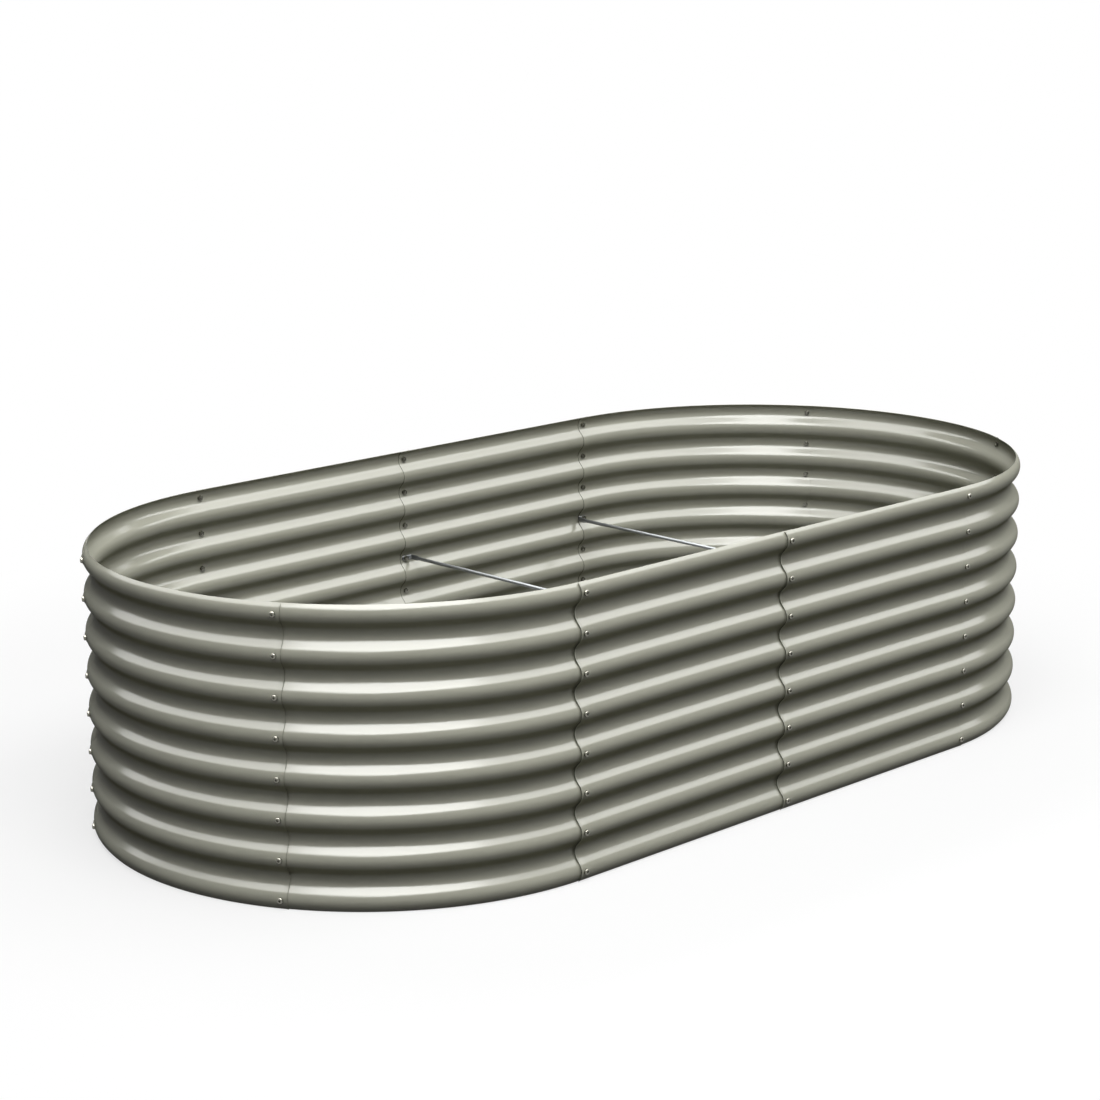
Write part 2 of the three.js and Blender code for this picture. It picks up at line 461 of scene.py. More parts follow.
@dataclass(frozen=True)
class Layout:
    """The oval and its ribs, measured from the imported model."""

    end_radius: float
    half_straight: float
    side_pitch: float
    rib_pitch: float
    edge_margin: float
    height: float
    seams: tuple[Seam, ...]
    end_panels: int = 3
    side_panels: int = 2
    rod_rib: int = 5

    @classmethod
    def measure(cls) -> "Layout":
        """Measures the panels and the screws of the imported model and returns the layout."""
        panel_low, panel_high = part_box("front_panel_2")
        lowest, second, corner = (
            sum(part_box(name), Vector()) / 2 for name in ("seam_1_bolt_1", "seam_1_bolt_3", "seam_3_bolt_1")
        )
        radius = -panel_low.y
        half = corner.x
        rows = []
        for turn in (0.0, math.pi):
            spin = Matrix.Rotation(turn, 3, "Z")
            for step in range(cls.side_panels + 1):
                x = -half + 2 * half * step / cls.side_panels
                rows.append((spin @ Vector((x, -radius, 0.0)), turn - math.pi / 2, True))
            for step in range(1, cls.end_panels):
                angle = -math.pi / 2 + math.pi * step / cls.end_panels
                point = Vector((half + radius * math.cos(angle), radius * math.sin(angle), 0.0))
                rows.append((spin @ point, turn + angle, False))
        seams = tuple(Seam(number, *row) for number, row in enumerate(rows, start=1))
        return cls(
            end_radius=radius,
            half_straight=half,
            side_pitch=2 * half / cls.side_panels,
            rib_pitch=(second.z - lowest.z) / 2,
            edge_margin=lowest.z,
            height=panel_high.z,
            seams=seams,
        )

    @property
    def rib_heights(self) -> list[float]:
        """The heights of the crests, from the ground up."""
        count = round((self.height - 2 * self.edge_margin) / self.rib_pitch) + 1
        return [self.edge_margin + self.rib_pitch * rib for rib in range(count)]

    @property
    def end_angle(self) -> float:
        """The angle that one curved panel spans from seam to seam."""
        return math.pi / self.end_panels


# ---- Corrugated panels ----


@dataclass
class CorrugatedSheet:
    """The sheet that every panel is pressed from: its ribs, its thickness, its laps and its holes."""

    layout: Layout
    finishes: Finishes
    rib_depth: float = 20 * MM
    flank_angle: float = math.radians(43)
    thickness: float = 0.8 * MM
    sheet_gap: float = 0.3 * MM
    lap_past_bolt: float = 14 * MM
    start_lift: float = 2.6 * MM  # an over sheet springs off the under one beyond its screws
    end_lift: float = 0.2 * MM
    curved_lift: float = 1.6 * MM
    hole_radius: float = 3.5 * MM
    hole_sides: int = 24
    bend_steps: int = 14
    curve_steps: int = 47
    smooth_below: float = 30.0

    @property
    def bend_radius(self) -> float:
        """The outer radius of a crest's bend, and of a valley's, which gives the ribs their depth."""
        flat, fall = math.cos(self.flank_angle), math.sin(self.flank_angle)
        rise = self.layout.rib_pitch / 2 * fall - self.rib_depth * flat
        return rise / (2 - 2 * flat)

    @property
    def lap_step(self) -> float:
        """How far an under sheet's crests lie inside an over sheet's."""
        return (self.thickness + self.sheet_gap) / math.cos(self.flank_angle)

    def shift_of(self, lap: Lap) -> float:
        """How far inside the outer crest face a panel's end lies.

        Args:
            lap: How the end lies at its seam.

        Returns:
            The distance inwards.
        """
        return self.lap_step if lap is Lap.UNDER else 0.0

    @staticmethod
    def lift_of(lap: Lap, lift: float) -> float:
        """How far a panel's very end springs outwards past its screws.

        Args:
            lap: How the end lies at its seam.
            lift: How far an over sheet of this kind springs.

        Returns:
            The distance outwards.
        """
        return lift if lap is Lap.OVER else 0.0

    def draw_section(self, name: str, radius: float) -> bpy.types.Object:
        """Draws the outer face's upright section as one line of edges, from the ground up.

        The section stands in the plane of x = 0, with its crests at y = -radius. It starts and ends half way
        up a flank.

        Args:
            name: The new object's name.
            radius: The distance of the crests from the Z axis.

        Returns:
            The object, left in edit mode with the whole line selected.
        """
        bend = self.bend_radius
        shoulder = bend * math.sin(self.flank_angle)
        half_flank = (self.layout.rib_pitch / 2 - 2 * shoulder) / 2
        slope = math.tan(self.flank_angle)
        first_flank = self.layout.edge_margin - shoulder
        deselect_all()
        bpy.ops.mesh.primitive_plane_add(size=self.thickness)
        sheet = bpy.context.object
        sheet.name = name
        sheet.data.name = name
        bpy.ops.object.mode_set(mode="EDIT")
        bpy.ops.mesh.select_mode(type="VERT")
        bpy.ops.mesh.select_all(action="SELECT")
        bpy.ops.mesh.merge(type="COLLAPSE")
        bpy.ops.transform.translate(value=(0.0, self.rib_depth / 2 - radius, 0.0))
        self.climb(-first_flank * slope, first_flank)
        turn = 2 * self.flank_angle
        crests = self.layout.rib_heights
        for crest in crests:
            self.bend(turn, bend - radius, crest)
            if crest == crests[-1]:
                break
            self.climb(2 * half_flank * slope, 2 * half_flank)
            self.bend(-turn, self.rib_depth - bend - radius, crest + self.layout.rib_pitch / 2)
            self.climb(-2 * half_flank * slope, 2 * half_flank)
        self.climb(first_flank * slope, first_flank)
        bpy.ops.mesh.select_all(action="SELECT")
        bpy.ops.mesh.remove_doubles(threshold=NEAR)
        return sheet

    def bend(self, angle: float, depth: float, height: float) -> None:
        """Bends the line round a crest or a valley.

        Args:
            angle: The turn. With no window, spin turns clockwise seen along its axis if this is positive.
            depth: The bend's centre along Y.
            height: The bend's centre along Z.
        """
        centre = (0.0, depth, height)
        bpy.ops.mesh.spin(steps=self.bend_steps, angle=angle, center=centre, axis=(1.0, 0.0, 0.0))

    @staticmethod
    def climb(inwards: float, upwards: float) -> None:
        """Draws a straight flank from the selected vertex.

        Args:
            inwards: How far it leads into the bed, along +Y.
            upwards: How far it leads up.
        """
        bpy.ops.mesh.extrude_region_move(TRANSFORM_OT_translate={"value": (0.0, inwards, upwards)})

    def straight(self, name: str, start: Lap, end: Lap) -> bpy.types.Object:
        """Models a straight panel from a seam at x = 0 to one at x = side_pitch, with its crests at y = 0.

        Args:
            name: The new object's name.
            start: How the panel lies at its first seam.
            end: How it lies at its second one.

        Returns:
            The finished panel.
        """
        lap = self.lap_past_bolt
        pitch = self.layout.side_pitch
        start_depth = self.shift_of(start)
        end_depth = self.shift_of(end)
        stations = [
            (-lap, start_depth - self.lift_of(start, self.start_lift)),
            (-lap / 2, start_depth),
            (lap / 2, start_depth),
            (pitch - lap / 2, end_depth),
            (pitch + lap / 2, end_depth),
            (pitch + lap, end_depth - self.lift_of(end, self.end_lift)),
        ]
        sheet = self.draw_section(name, -stations[0][1])
        bpy.ops.transform.translate(value=(-lap, 0.0, 0.0))
        for (here, depth), (there, next_depth) in zip(stations, stations[1:]):
            step = (there - here, next_depth - depth, 0.0)
            bpy.ops.mesh.extrude_region_move(TRANSFORM_OT_translate={"value": step})
        finish_editing()
        drills = [self.drill_line(0.0, Vector((along, 0.0, 0.0))) for along in (0.0, pitch)]
        return self.finish(sheet, drills, outwards=lambda centre: Vector((0.0, -1.0, 0.0)))

    def curved(self, name: str, lap: Lap) -> bpy.types.Object:
        """Models a curved panel about the Z axis, from a seam at -90 degrees to the next one.

        Args:
            name: The new object's name.
            lap: How the panel lies at both of its seams.

        Returns:
            The finished panel.
        """
        radius = self.layout.end_radius
        sheet = self.draw_section(name, radius - self.shift_of(lap))
        past = self.lap_past_bolt / radius
        whole = self.layout.end_angle + 2 * past
        bpy.ops.mesh.spin(
            steps=self.curve_steps, angle=-whole, center=(0.0, 0.0, 0.0), axis=(0.0, 0.0, 1.0)
        )
        finish_editing()
        apply_place(sheet, Matrix.Rotation(-past, 4, "Z"))
        self.lift_curved_ends(sheet, past, self.lift_of(lap, self.curved_lift))
        drills = [
            self.drill_line(angle, Matrix.Rotation(angle, 3, "Z") @ Vector((0.0, -radius, 0.0)))
            for angle in (0.0, self.layout.end_angle)
        ]
        return self.finish(sheet, drills, outwards=lambda centre: Vector((centre.x, centre.y, 0.0)))

    def lift_curved_ends(self, sheet: bpy.types.Object, past: float, lift: float) -> None:
        """Springs both ends of a curved panel outwards, from half way past the screws.

        Args:
            sheet: The outer face, placed about the Z axis.
            past: The angle that the panel runs on past its screws.
            lift: How far its ends spring outwards.
        """
        start_editing(sheet)
        for angle in (-past / 2, self.layout.end_angle + past / 2):
            bpy.ops.mesh.select_all(action="SELECT")
            along = Matrix.Rotation(angle, 3, "Z") @ Vector((1.0, 0.0, 0.0))
            bpy.ops.mesh.bisect(plane_co=(0.0, 0.0, 0.0), plane_no=along)
        limit = self.layout.end_angle / 2 + past * 0.75
        middle = self.layout.end_angle / 2
        select_vertices(sheet, lambda place: abs(math.atan2(place.x, -place.y) - middle) > limit)
        growth = 1 + lift / self.layout.end_radius
        bpy.ops.transform.resize(value=(growth, growth, 1.0), center_override=(0.0, 0.0, 0.0))
        finish_editing()

    def drill_line(self, angle: float, foot: Vector) -> bpy.types.Object:
        """Makes the drills of one seam, one through the crest of each rib.

        Args:
            angle: The wall's turn about Z from facing -Y.
            foot: The seam's place on the crest face, at the ground.

        Returns:
            One object with all the drills.
        """
        deselect_all()
        turn = Matrix.Rotation(angle, 4, "Z") @ Matrix.Rotation(math.pi / 2, 4, "X")
        drills = []
        for height in self.layout.rib_heights:
            bpy.ops.mesh.primitive_cylinder_add(
                vertices=self.hole_sides, radius=self.hole_radius, depth=self.rib_depth
            )
            drill = bpy.context.object
            apply_place(drill, Matrix.Translation(foot + Vector((0.0, 0.0, height))) @ turn)
            drills.append(drill)
        deselect_all()
        for drill in drills:
            drill.select_set(True)
        bpy.context.view_layer.objects.active = drills[0]
        bpy.ops.object.join()
        return drills[0]

    def finish(
        self,
        sheet: bpy.types.Object,
        drills: Iterable[bpy.types.Object],
        outwards: Callable[[Vector], Vector],
    ) -> bpy.types.Object:
        """Gives the outer face its thickness, drills the holes and dresses the panel.

        Args:
            sheet: The outer face, as an open surface.
            drills: The drills of its two seams.
            outwards: Gives the outward direction at the centre of a face.

        Returns:
            The finished panel.
        """
        start_editing(sheet)
        bpy.ops.mesh.select_mode(type="FACE")
        mesh = bmesh.from_edit_mesh(sheet.data)
        for face in mesh.faces:
            face.select = face.normal.dot(outwards(face.calc_center_median())) < 0
        bmesh.update_edit_mesh(sheet.data)
        bpy.ops.mesh.flip_normals()
        finish_editing()
        drills = tuple(drills)
        for piece in (sheet, *drills):
            for material in (self.finishes.coat, self.finishes.edge):
                piece.data.materials.append(material)
        wall = sheet.modifiers.new("wall", "SOLIDIFY")
        wall.thickness = self.thickness
        wall.offset = -1.0
        wall.use_even_offset = True
        # The rims take the cut-edge finish, whose colour carries painted shade for the seam lines.
        wall.material_offset_rim = 1
        make_active(sheet)
        bpy.ops.object.modifier_apply(modifier=wall.name)
        for drill in drills:
            for face in drill.data.polygons:
                face.material_index = 1
            cut_or_join(sheet, drill, "DIFFERENCE")
        shade_by_angle(sheet, self.smooth_below)
        return sheet


@dataclass
class PanelRing:
    """The ten panels in a ring. Four masters are modelled, and the others are copies of them."""

    layout: Layout
    sheet: CorrugatedSheet
    panels: list[bpy.types.Object] = field(default_factory=list)

    def build(self) -> None:
        """Models the masters and sets a copy at each place."""
        straight_over_under = self.sheet.straight("straight_over_under", Lap.OVER, Lap.UNDER)
        straight_over = self.sheet.straight("straight_over", Lap.OVER, Lap.OVER)
        curved_under = self.sheet.curved("curved_under", Lap.UNDER)
        curved_over = self.sheet.curved("curved_over", Lap.OVER)
        half = self.layout.half_straight
        for turn, side, end in ((0.0, Wall.FRONT, Wall.RIGHT_END), (math.pi, Wall.BACK, Wall.LEFT_END)):
            spin = Matrix.Rotation(turn, 4, "Z")
            for number, master in enumerate((straight_over_under, straight_over), start=1):
                corner = Vector(((number - 1) * self.layout.side_pitch - half, -self.layout.end_radius, 0.0))
                self.place(master, side, number, spin @ Matrix.Translation(corner))
            for number, master in enumerate((curved_under, curved_over, curved_under), start=1):
                swing = Matrix.Rotation((number - 1) * self.layout.end_angle, 4, "Z")
                centre = Matrix.Translation(Vector((half, 0.0, 0.0)))
                self.place(master, end, number, spin @ centre @ swing)
        for master in (straight_over_under, straight_over, curved_under, curved_over):
            remove_piece(master)

    def place(self, master: bpy.types.Object, wall: Wall, number: int, place: Matrix) -> None:
        """Sets a copy of a master at its place, where it stands for its solid.

        Args:
            master: The panel to copy.
            wall: The wall that the copy belongs to.
            number: Its number in that wall.
            place: The matrix that carries it there.
        """
        node = f"{wall.value}_{number}"
        panel = placed_copy(master, f"{node}_sheet", place)
        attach(panel, BODY)
        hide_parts(node)
        self.panels.append(panel)
        LOG.info("%s: %d faces", panel.name, len(panel.data.polygons))


# ---- Screws, washers and nuts ----


@dataclass
class SeamScrew:
    """A pan-head M6 screw with a cross recess, done up with a washer and a hexagon nut.

    It is modelled about the Z axis, with +Z out of the wall and z = 0 on the outer crest face.
    """

    finishes: Finishes
    head_diameter: float = 12 * MM
    head_height: float = 4.3 * MM
    head_seat: float = 0.4 * MM
    shank_diameter: float = 6 * MM
    recess_length: float = 7.8 * MM
    recess_width: float = 2.4 * MM
    recess_depth: float = 3.2 * MM
    washer_diameter: float = 12 * MM
    washer_thickness: float = 1.0 * MM
    nut_across_flats: float = 10 * MM
    nut_height: float = 4.4 * MM
    nut_overlap: float = 0.1 * MM  # it reaches into the washer, so that no slit is left between them
    end_past_nut: float = 0.5 * MM
    rim_dome: float = 0.62  # the domed rim's share of the head's height
    rim_segments: int = 6
    recess_foot: tuple[float, float] = (0.45, 0.7)  # how far the cross narrows, along and across an arm
    tip_chamfer: float = 0.6 * MM
    washer_chamfer: float = 0.15 * MM
    nut_chamfer: float = 0.55 * MM
    turning_play: float = 1.01  # how much wider than its corners the nut's end is turned
    round_sides: int = 32
    smooth_below: float = 28.0

    def head(self) -> bpy.types.Object:
        """Models the pan head with its domed rim and returns it."""
        top = self.head_seat + self.head_height
        head = self.rod_shape(self.head_diameter, self.head_seat, top, self.round_sides)
        start_editing(head)
        select_vertices(head, lambda place: place.z > top - NEAR)
        dome = self.head_height * self.rim_dome
        bpy.ops.mesh.bevel(offset=dome, segments=self.rim_segments, profile=0.5, affect="EDGES")
        finish_editing()
        return head

    def recess(self) -> bpy.types.Object:
        """Models the cutter of the cross recess, which narrows towards its foot, and returns it."""
        top = self.head_seat + self.head_height
        depth = self.recess_depth
        arms = []
        for long_x in (True, False):
            deselect_all()
            size = (self.recess_length, self.recess_width)
            foot = self.recess_foot
            if not long_x:
                size, foot = size[::-1], foot[::-1]
            bpy.ops.mesh.primitive_cube_add(size=1.0)
            arm = bpy.context.object
            scale = Matrix.Diagonal((size[0], size[1], 2 * depth, 1.0))
            apply_place(arm, Matrix.Translation((0.0, 0.0, top)) @ scale)
            start_editing(arm)
            select_vertices(arm, lambda place: place.z < top)
            bpy.ops.transform.resize(value=(foot[0], foot[1], 1.0), center_override=(0.0, 0.0, top))
            finish_editing()
            arms.append(arm)
        cut_or_join(arms[0], arms[1], "UNION")
        return arms[0]

    def rod_shape(self, diameter: float, low: float, high: float, sides: int) -> bpy.types.Object:
        """Models a plain round or hexagonal bar about Z, the start of a shank, a washer or a nut.

        Args:
            diameter: Its diameter over the corners.
            low: The height of its lower end.
            high: The height of its upper end.
            sides: The number of its sides.

        Returns:
            The bar.
        """
        deselect_all()
        bpy.ops.mesh.primitive_cylinder_add(
            vertices=sides, radius=diameter / 2, depth=high - low, location=(0.0, 0.0, (low + high) / 2)
        )
        bar = bpy.context.object
        apply_place(bar, bar.matrix_world.copy())
        return bar

    def chamfer_ends(self, bar: bpy.types.Object, size: float, ends: tuple[float, ...]) -> None:
        """Chamfers the rims of a bar.

        Args:
            bar: The bar.
            size: The chamfer's size.
            ends: The heights of the ends that are chamfered.
        """
        start_editing(bar)
        select_vertices(bar, lambda place: any(abs(place.z - end) < NEAR for end in ends))
        bpy.ops.mesh.bevel(offset=size, segments=2, affect="EDGES")
        finish_editing()

    def build(self, name: str, grip: float) -> bpy.types.Object:
        """Models the whole fastener.

        Args:
            name: The new object's name.
            grip: The depth below the outer crest face at which the washer bears.

        Returns:
            The finished fastener.
        """
        washer_end = -grip - self.washer_thickness
        nut_end = washer_end - self.nut_height
        tip = nut_end - self.end_past_nut
        screw = self.head()
        cut_or_join(screw, self.recess(), "DIFFERENCE")
        shank_top = self.head_seat + self.head_height / 4
        shank = self.rod_shape(self.shank_diameter, tip, shank_top, self.round_sides)
        self.chamfer_ends(shank, self.tip_chamfer, (tip,))
        washer = self.rod_shape(self.washer_diameter, washer_end, -grip, self.round_sides)
        self.chamfer_ends(washer, self.washer_chamfer, (washer_end, -grip))
        corners = self.nut_across_flats / math.cos(math.pi / 6)
        nut_start = washer_end + self.nut_overlap
        nut = self.rod_shape(corners, nut_end, nut_start, 6)
        turned = self.rod_shape(
            corners * self.turning_play, nut_end, nut_start + self.nut_overlap, self.round_sides
        )
        self.chamfer_ends(turned, self.nut_chamfer, (nut_end,))
        cut_or_join(nut, turned, "INTERSECT")
        for part in (shank, washer, nut):
            cut_or_join(screw, part, "UNION")
        screw.name = name
        screw.data.name = name
        screw.data.materials.clear()
        screw.data.materials.append(self.finishes.plate)
        for face in screw.data.polygons:
            face.material_index = 0
        weld(screw)
        shade_by_angle(screw, self.smooth_below)
        return screw


@dataclass
class SeamScrews:
    """The screws of all the seams, one on the crest of each rib."""

    layout: Layout
    screw: SeamScrew
    plain_grip: float = 3.2 * MM
    rod_grip: float = 5.9 * MM

    def build(self) -> None:
        """Models the two lengths of screw and sets one at each rib of each seam."""
        plain = self.screw.build("screw_plain", self.plain_grip)
        through_rod = self.screw.build("screw_through_rod", self.rod_grip)
        for seam in self.layout.seams:
            for rib, height in enumerate(self.layout.rib_heights, start=1):
                master = through_rod if seam.holds_rod and rib == self.layout.rod_rib else plain
                screw = placed_copy(master, f"seam_{seam.number}_screw_{rib}", seam.place_at(height))
                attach(screw, BODY)
                node = f"seam_{seam.number}_bolt_{rib}"
                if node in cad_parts:
                    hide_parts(node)
            LOG.info("seam %d: %d screws", seam.number, len(self.layout.rib_heights))
        for master in (plain, through_rod):
            remove_piece(master)


# ---- Tie rods ----


@dataclass
class TieRod:
    """A round bar across the bed whose ends are flattened and bent along the walls, under the nuts.

    It is modelled with its screws at x = 0 and its bar at x = tab_to_rod.
    """

    layout: Layout
    finishes: Finishes
    diameter: float = 8 * MM
    tab_thickness: float = 3 * MM
    tab_width: float = 12 * MM
    tab_to_rod: float = 18 * MM
    tab_past_bolt: float = 9 * MM
    bend_radius: float = 5 * MM
    flat_length: float = 16 * MM
    squeeze_length: float = 10 * MM
    wall_to_tab: float = 2.604 * MM
    hole_radius: float = 3.5 * MM
    sides: int = 24
    bend_steps: int = 8
    squeeze_steps: int = 4
    tip_narrows: tuple[float, float] = (0.9, 0.6)  # half way along the tab's tip and at its end
    tip_thins: float = 0.9
    smooth_below: float = 35.0

    def build(self, name: str) -> bpy.types.Object:
        """Models one end outwards from the middle of the bar and mirrors it.

        Args:
            name: The new object's name.

        Returns:
            The finished rod.
        """
        middle_radius = self.bend_radius + self.tab_thickness / 2
        bend_start = self.layout.end_radius - self.wall_to_tab - self.tab_thickness / 2 - middle_radius
        flat_start = bend_start - self.flat_length
        round_end = flat_start - self.squeeze_length
        deselect_all()
        bpy.ops.mesh.primitive_circle_add(vertices=self.sides, radius=self.diameter / 2, fill_type="NGON")
        rod = bpy.context.object
        rod.name = name
        rod.data.name = name
        upright = Matrix.Translation((self.tab_to_rod, 0.0, 0.0)) @ Matrix.Rotation(math.pi / 2, 4, "X")
        apply_place(rod, upright)
        start_editing(rod)
        bpy.ops.mesh.select_all(action="SELECT")
        self.push(0.0, -round_end)
        flatten = (self.tab_thickness / self.diameter, 1.0, self.tab_width / self.diameter)
        steps = self.squeeze_steps
        for step in range(steps):
            self.push(0.0, -self.squeeze_length / steps)
            share = tuple(value ** (1 / steps) for value in flatten)
            here = round_end + self.squeeze_length * (step + 1) / steps
            bpy.ops.transform.resize(value=share, center_override=(self.tab_to_rod, -here, 0.0))
        self.push(0.0, -self.flat_length)
        bpy.ops.mesh.spin(
            steps=self.bend_steps,
            angle=math.pi / 2,
            center=(self.tab_to_rod - middle_radius, -bend_start, 0.0),
            axis=(0.0, 0.0, 1.0),
        )
        tab_start = self.tab_to_rod - middle_radius
        tip_round = self.tab_width / 3
        self.push(-(tab_start + self.tab_past_bolt - tip_round), 0.0)
        tab_y = -(bend_start + middle_radius)
        for share, narrow in zip((0.5, 1.0), self.tip_narrows):
            self.push(-tip_round / 2, 0.0)
            x = -self.tab_past_bolt + tip_round * (1 - share)
            bpy.ops.transform.resize(value=(1.0, self.tip_thins, narrow), center_override=(x, tab_y, 0.0))
        bpy.ops.mesh.select_all(action="DESELECT")
        select_vertices(rod, lambda place: abs(place.y) < NEAR)
        bpy.ops.mesh.delete(type="ONLY_FACE")
        finish_editing()
        mirror = rod.modifiers.new("other_end", "MIRROR")
        mirror.use_axis = (False, True, False)
        mirror.merge_threshold = NEAR
        make_active(rod)
        bpy.ops.object.modifier_apply(modifier=mirror.name)
        start_editing(rod)
        bpy.ops.mesh.select_all(action="SELECT")
        bpy.ops.mesh.remove_doubles(threshold=NEAR)
        bpy.ops.mesh.normals_make_consistent(inside=False)
        finish_editing()
        for facing in (-1, 1):
            deselect_all()
            bpy.ops.mesh.primitive_cylinder_add(
                vertices=self.sides,
                radius=self.hole_radius,
                depth=4 * self.tab_thickness,
                location=(0.0, -facing * tab_y, 0.0),
                rotation=(math.pi / 2, 0.0, 0.0),
            )
            drill = bpy.context.object
            apply_place(drill, drill.matrix_world.copy())
            cut_or_join(rod, drill, "DIFFERENCE")
        rod.data.materials.clear()
        rod.data.materials.append(self.finishes.bar)
        weld(rod)
        shade_by_angle(rod, self.smooth_below)
        return rod

    @staticmethod
    def push(along_x: float, along_y: float) -> None:
        """Extrudes the selected end of the bar.

        Args:
            along_x: How far along X.
            along_y: How far along Y.
        """
        bpy.ops.mesh.extrude_region_move(TRANSFORM_OT_translate={"value": (along_x, along_y, 0.0)})


@dataclass
class TieRods:
    """The tie rods, one at each seam of the long sides."""

    layout: Layout
    rod: TieRod

    def build(self) -> None:
        """Models one rod and sets a copy at each seam of the front wall."""
        master = self.rod.build("tie_rod_master")
        height = self.layout.rib_heights[self.layout.rod_rib - 1]
        front = [seam for seam in self.layout.seams if seam.holds_rod and seam.point.y < 0]
        for number, seam in enumerate(front, start=1):
            turn = math.pi if seam.point.x > NEAR else 0.0
            place = Matrix.Translation((seam.point.x, 0.0, height)) @ Matrix.Rotation(turn, 4, "Z")
            rod = placed_copy(master, f"tie_rod_{number}_bar", place)
            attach(rod, BODY)
            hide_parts(f"tie_rod_{number}")
            LOG.info("%s: %d faces", rod.name, len(rod.data.polygons))
        remove_piece(master)


# ---- Studio ----


@dataclass(frozen=True)
class Softbox:
    """A large overhead lamp with an even face. Places and sizes are in heights of the lamp above the bed."""

    name: str
    use: LampUse
    low: tuple[float, float]
    high: tuple[float, float]
    radiance: float


@dataclass
class Studio:
    """Camera, floor, world and lamps.

    The camera's place comes from the screws and the edges of the bed in a picture of 1100 x 1100 pixels.
    """

    eye: Vector = field(default_factory=lambda: Vector((-4.1263, -4.0784, 1.8515)))
    heading: float = math.radians(44.602)  # from +Y towards +X
    pitch: float = math.radians(13.4904)  # downwards
    roll: float = -0.00379989
    focal_pixels: float = 2695.25
    frame_pixels: float = 1100.0
    sensor_mm: float = 36.0
    lamp_height: float = 6.0
    card_rise: float = 0.1  # a card in the lights' own plane would be hidden by them
    bed_middle: float = 0.3
    floor_size: float = 80.0
    floor_reach: tuple[float, float] = (1.2, 2.3)  # where the floor turns plain white
    plain_white: float = 0.7  # the share of plain white near the bed, where the shadow falls
    fill: float = 0.01
    softboxes: tuple[Softbox, ...] = (
        Softbox("near_light", LampUse.LIGHT, (-0.85, -0.9), (0.0, -0.02), 8.0),
        Softbox("side_light", LampUse.LIGHT, (0.0, -0.9), (2.4, -0.25), 3.3),
        Softbox("back_light", LampUse.LIGHT, (-0.2, 0.5), (2.0, 0.9), 4.0),
        Softbox("near_card", LampUse.GLOSS, (-0.85, -0.87), (0.04, -0.02), 16.8),
        Softbox("side_card", LampUse.GLOSS, (0.04, -0.87), (2.45, -0.25), 9.7),
        Softbox("left_card", LampUse.GLOSS, (-1.1, -0.02), (-0.2, 2.6), 9.2),
        Softbox("left_edge_card", LampUse.GLOSS, (-1.1, -0.87), (-0.85, -0.02), 8.5),
        Softbox("back_card", LampUse.GLOSS, (-0.2, 0.25), (2.0, 0.85), 9.0),
    )

    def add_camera(self) -> None:
        """Adds the camera at the picture's viewpoint and makes it the scene's."""
        data = bpy.data.cameras.new("camera")
        data.sensor_width = self.sensor_mm
        data.lens = self.sensor_mm * self.focal_pixels / self.frame_pixels
        data.clip_end = 2 * self.floor_size
        camera = bpy.data.objects.new("camera", data)
        bpy.context.scene.collection.objects.link(camera)
        flat = Vector((math.sin(self.heading), math.cos(self.heading), 0.0))
        look = flat * math.cos(self.pitch) - Vector((0.0, 0.0, math.sin(self.pitch)))
        camera.location = self.eye
        camera.rotation_mode = "QUATERNION"
        camera.rotation_quaternion = look.to_track_quat("-Z", "Y") @ Quaternion((0.0, 0.0, 1.0), self.roll)
        bpy.context.scene.camera = camera

    def add_softboxes(self) -> None:
        """Hangs the softboxes over the bed, facing down."""
        for box in self.softboxes:
            data = bpy.data.lights.new(box.name, "AREA")
            data.shape = "RECTANGLE"
            data.size = (box.high[0] - box.low[0]) * self.lamp_height
            data.size_y = (box.high[1] - box.low[1]) * self.lamp_height
            # An even face of radiance L and area A gives off a power of pi L A.
            data.energy = math.pi * box.radiance * data.size * data.size_y
            lamp = bpy.data.objects.new(box.name, data)
            lamp.location = (
                (box.low[0] + box.high[0]) / 2 * self.lamp_height,
                (box.low[1] + box.high[1]) / 2 * self.lamp_height,
                self.bed_middle + self.lamp_height + (self.card_rise if box.use is LampUse.GLOSS else 0.0),
            )
            lamp.visible_camera = False
            lamp.visible_diffuse = box.use is LampUse.LIGHT
            lamp.visible_glossy = box.use is LampUse.GLOSS
            bpy.context.scene.collection.objects.link(lamp)

    @staticmethod
    def seen_directly(tree: bpy.types.NodeTree) -> bpy.types.NodeSocket:
        """Adds nodes that give 1 to camera, glossy and transmission rays, and 0 to all others.

        Args:
            tree: The node tree.

        Returns:
            The output socket.
        """
        path = add_node(tree, "ShaderNodeLightPath")
        seen = path.outputs["Is Camera Ray"]
        for ray in ("Is Glossy Ray", "Is Transmission Ray"):
            larger = add_node(tree, "ShaderNodeMath", {0: seen, 1: path.outputs[ray]}, operation="MAXIMUM")
            seen = larger.outputs[0]
        return seen

    def add_world(self) -> None:
        """Makes the world a white background that lights the bed only a little."""
        world = bpy.data.worlds.new("studio")
        world.use_nodes = True
        bpy.context.scene.world = world
        tree = world.node_tree
        tree.nodes.clear()
        fill, white = (
            add_node(tree, "ShaderNodeBackground", {"Color": linear_colour("ffffff"), "Strength": strength})
            for strength in (self.fill, 1.0)
        )
        both = add_node(
            tree,
            "ShaderNodeMixShader",
            {0: self.seen_directly(tree), 1: fill.outputs[0], 2: white.outputs[0]},
        )
        add_node(tree, "ShaderNodeOutputWorld", {"Surface": both.outputs[0]})

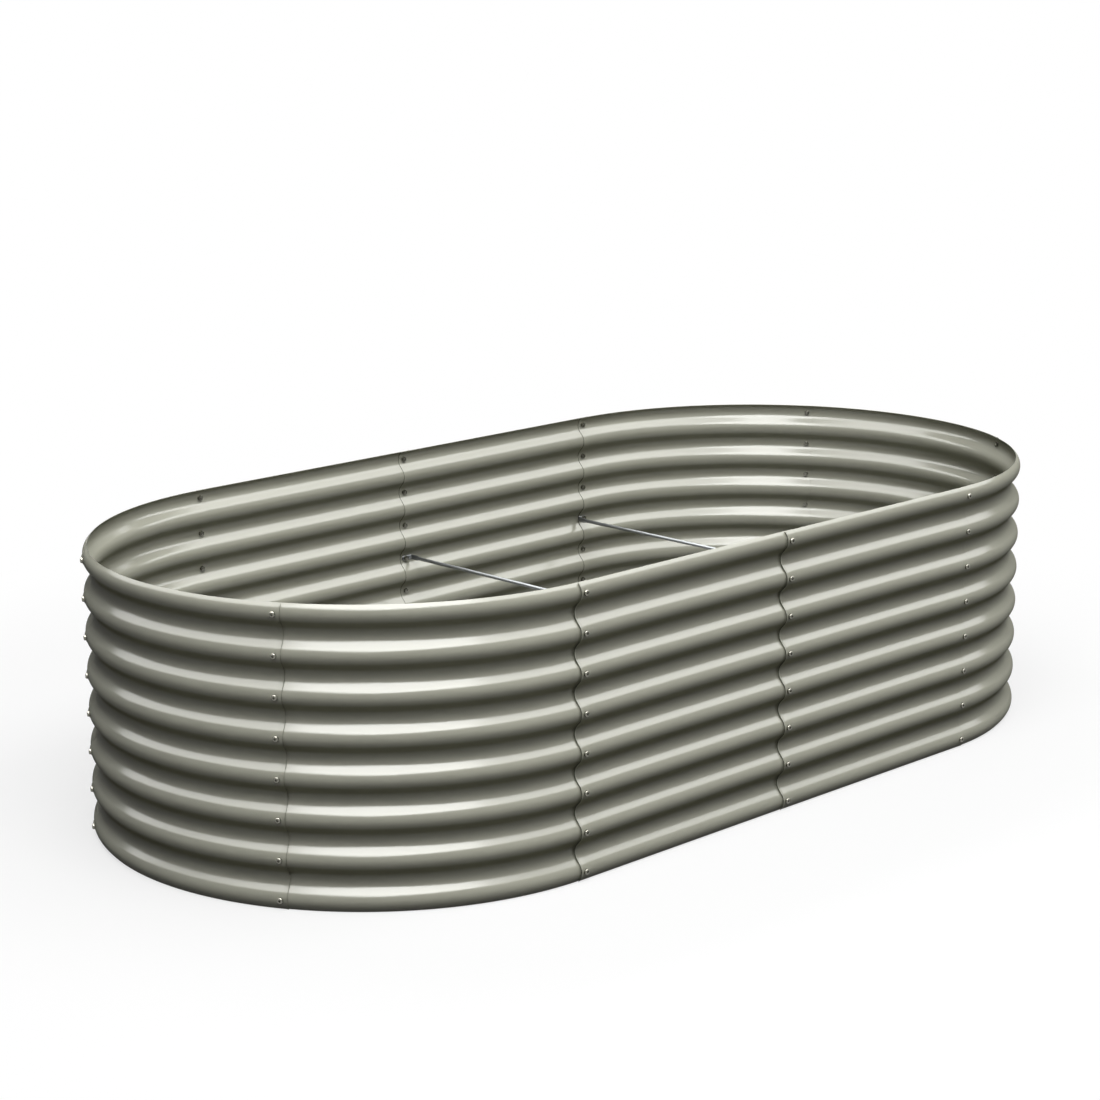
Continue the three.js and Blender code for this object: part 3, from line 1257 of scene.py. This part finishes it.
    def add_floor(self) -> None:
        """Lays the pale floor, which keeps the bed's shadow and throws little light back."""
        deselect_all()
        bpy.ops.mesh.primitive_plane_add(size=self.floor_size)
        floor = bpy.context.object
        floor.name = "studio_floor"
        material = new_material("matt_white_floor")
        tree = material.node_tree
        # The lit share takes the bed's shadow, and the plain white share keeps that shadow light.
        lit = add_node(tree, "ShaderNodeBsdfDiffuse", {"Color": linear_colour("d2d2d2")})
        plain = add_node(tree, "ShaderNodeEmission", {"Color": linear_colour("ffffff"), "Strength": 1.0})
        place = add_node(tree, "ShaderNodeTexCoord").outputs["Object"]
        distance = add_node(tree, "ShaderNodeVectorMath", {0: place}, operation="LENGTH")
        share = add_node(
            tree,
            "ShaderNodeMapRange",
            {
                "Value": distance.outputs["Value"],
                "From Min": self.floor_reach[0],
                "From Max": self.floor_reach[1],
                "To Min": self.plain_white,
                "To Max": 1.0,
            },
            interpolation_type="SMOOTHSTEP",
        )
        seen = add_node(
            tree,
            "ShaderNodeMixShader",
            {0: share.outputs["Result"], 1: lit.outputs[0], 2: plain.outputs[0]},
        )
        dark = add_node(tree, "ShaderNodeBsdfDiffuse", {"Color": linear_colour("4e4d46")})
        surface = add_node(
            tree,
            "ShaderNodeMixShader",
            {0: self.seen_directly(tree), 1: dark.outputs[0], 2: seen.outputs[0]},
        )
        add_node(tree, "ShaderNodeOutputMaterial", {"Surface": surface.outputs[0]})
        floor.data.materials.append(material)

    def build(self) -> None:
        """Sets up the whole studio."""
        bpy.context.scene.view_settings.view_transform = "Standard"
        self.add_camera()
        self.add_world()
        self.add_softboxes()
        self.add_floor()


# ---- The whole bed ----


def main() -> None:
    """Builds the studio, the panels, the screws and the tie rods in order."""
    logging.basicConfig(level=logging.INFO, format="%(name)s: %(message)s")
    Studio().build()
    finishes = Finishes.build()
    layout = Layout.measure()
    PanelRing(layout, CorrugatedSheet(layout, finishes)).build()
    SeamScrews(layout, SeamScrew(finishes)).build()
    TieRods(layout, TieRod(layout, finishes)).build()


if __name__ == "__main__":
    main()
